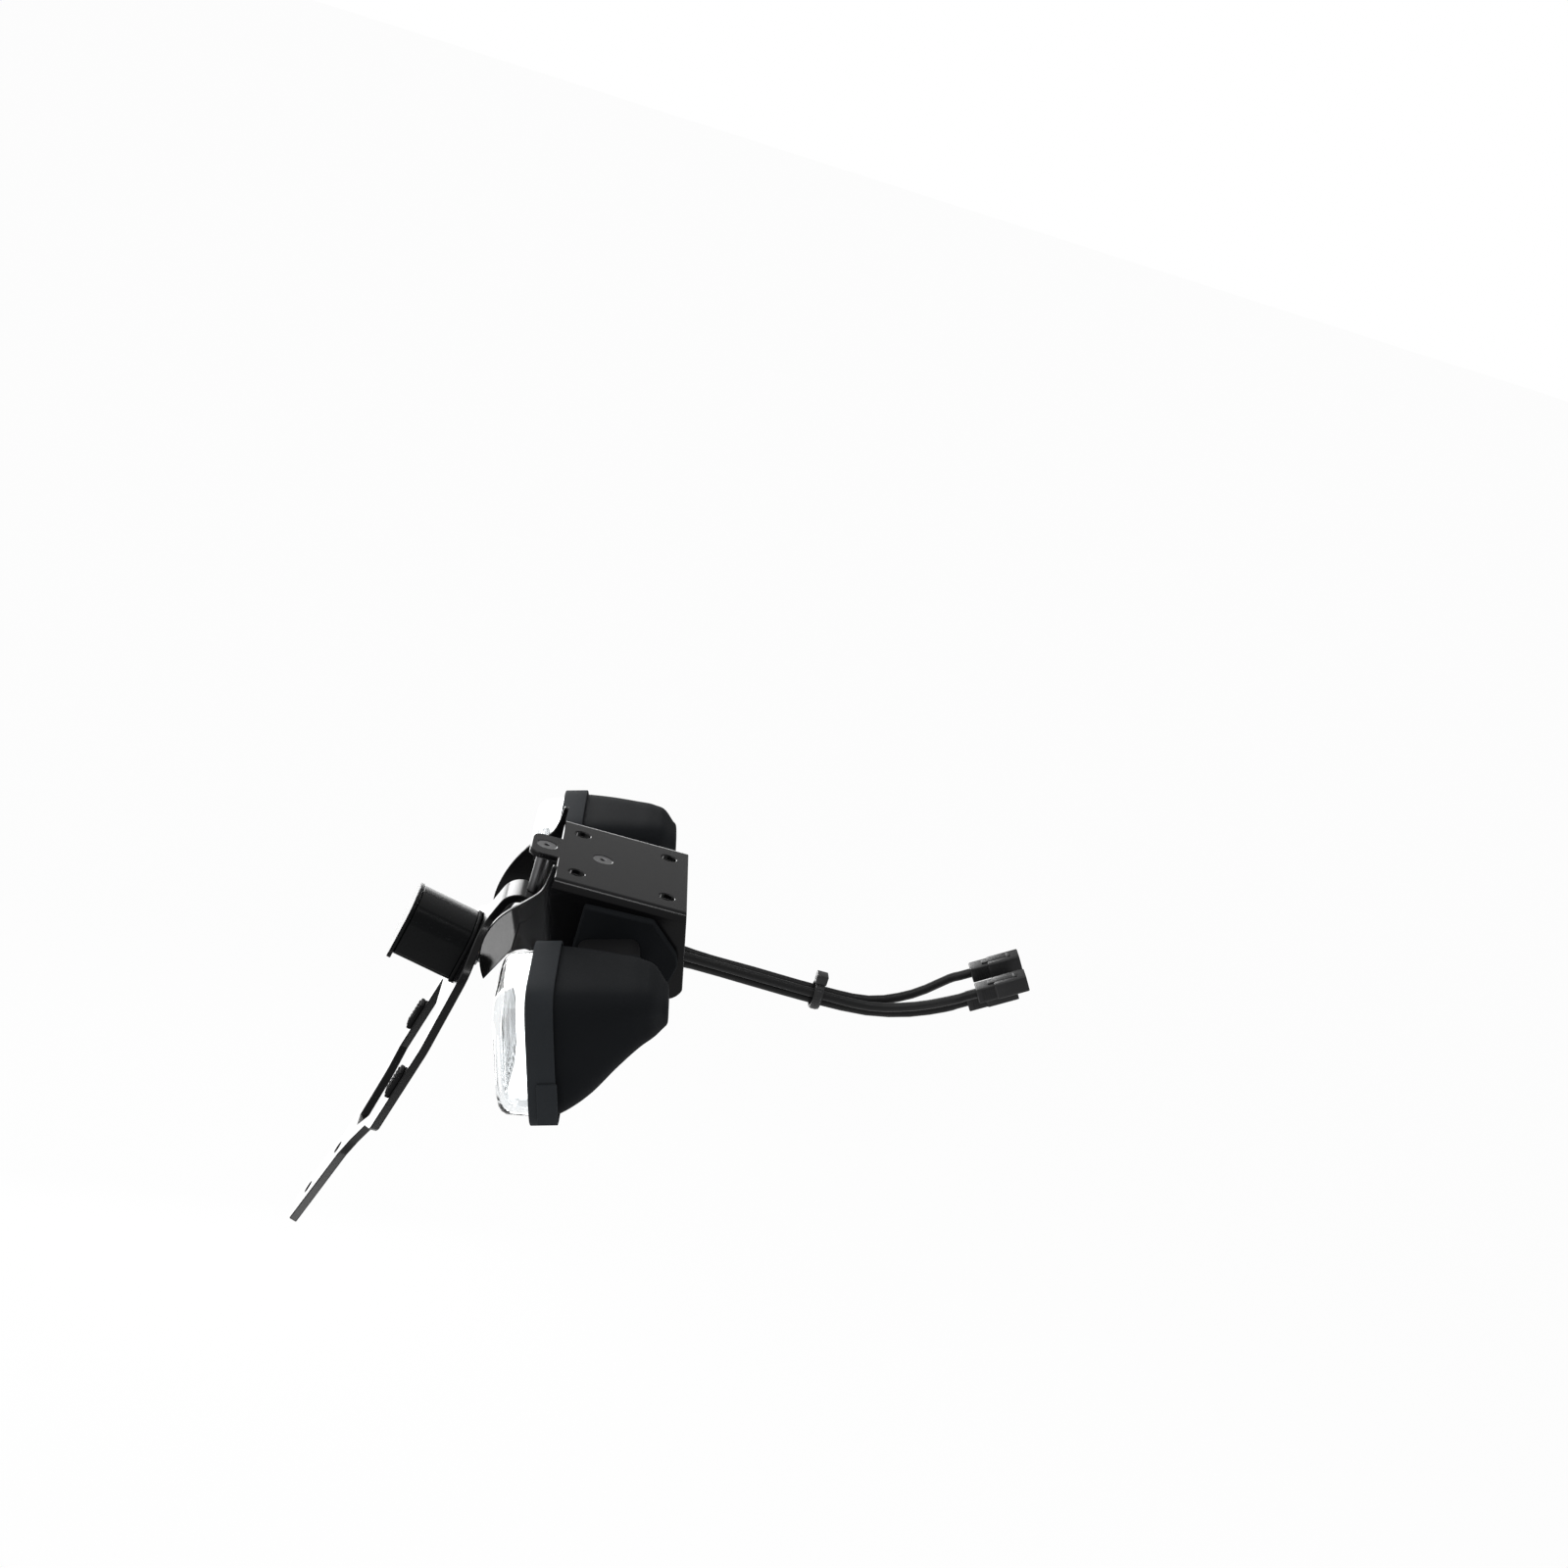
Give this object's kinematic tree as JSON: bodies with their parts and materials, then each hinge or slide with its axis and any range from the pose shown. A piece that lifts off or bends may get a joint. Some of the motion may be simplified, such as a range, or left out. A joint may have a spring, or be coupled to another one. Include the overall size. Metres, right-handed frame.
{
  "type": "tail tidy",
  "caption": "Motorbike tail tidy: a folded bracket with a plate light, a number plate hanger and a turn indicator on each side.",
  "frame": {"origin": "middle of the four bolt holes, on the upper face of the top plate", "axes": "+Z square to the upper face of the top plate, +Y towards the bike's front, +X to the bike's right"},
  "size_m": [0.243, 0.2751, 0.2029],
  "materials": {
    "frame_black": "satin",
    "housing_black": "satin",
    "bezel_black": "satin",
    "rubber_black": "matte",
    "clear_lens": "gloss",
    "reflector": "polished",
    "amber_lamp": "gloss",
    "fastener": "satin",
    "board_green": "gloss",
    "lead_sheath": "satin",
    "connector_body": "satin",
    "tie_black": "satin"
  },
  "bodies": {
    "root": {"main_bracket": "frame_black", "plate_bracket": "frame_black", "plate_pads": "rubber_black", "neck_spacers": "fastener", "neck_bolts": "fastener", "neck_nuts": "fastener", "light_gasket": "rubber_black", "light_housing": "housing_black", "light_rim": "housing_black", "light_lens": "clear_lens", "light_board": "board_green", "light_studs": "fastener", "light_nuts": "fastener", "light_grommet": "rubber_black", "right_shoulder": "housing_black", "right_stem": "rubber_black", "right_nut": "fastener", "right_body": "housing_black", "right_bezel": "bezel_black", "right_lens": "clear_lens", "right_reflector": "reflector", "right_lamp": "amber_lamp", "left_shoulder": "housing_black", "left_stem": "rubber_black", "left_nut": "fastener", "left_body": "housing_black", "left_bezel": "bezel_black", "left_lens": "clear_lens", "left_reflector": "reflector", "left_lamp": "amber_lamp", "light_lead": "lead_sheath", "right_lead": "lead_sheath", "left_lead": "lead_sheath", "connectors": "connector_body", "cable_tie": "tie_black"}
  },
  "joints": []
}
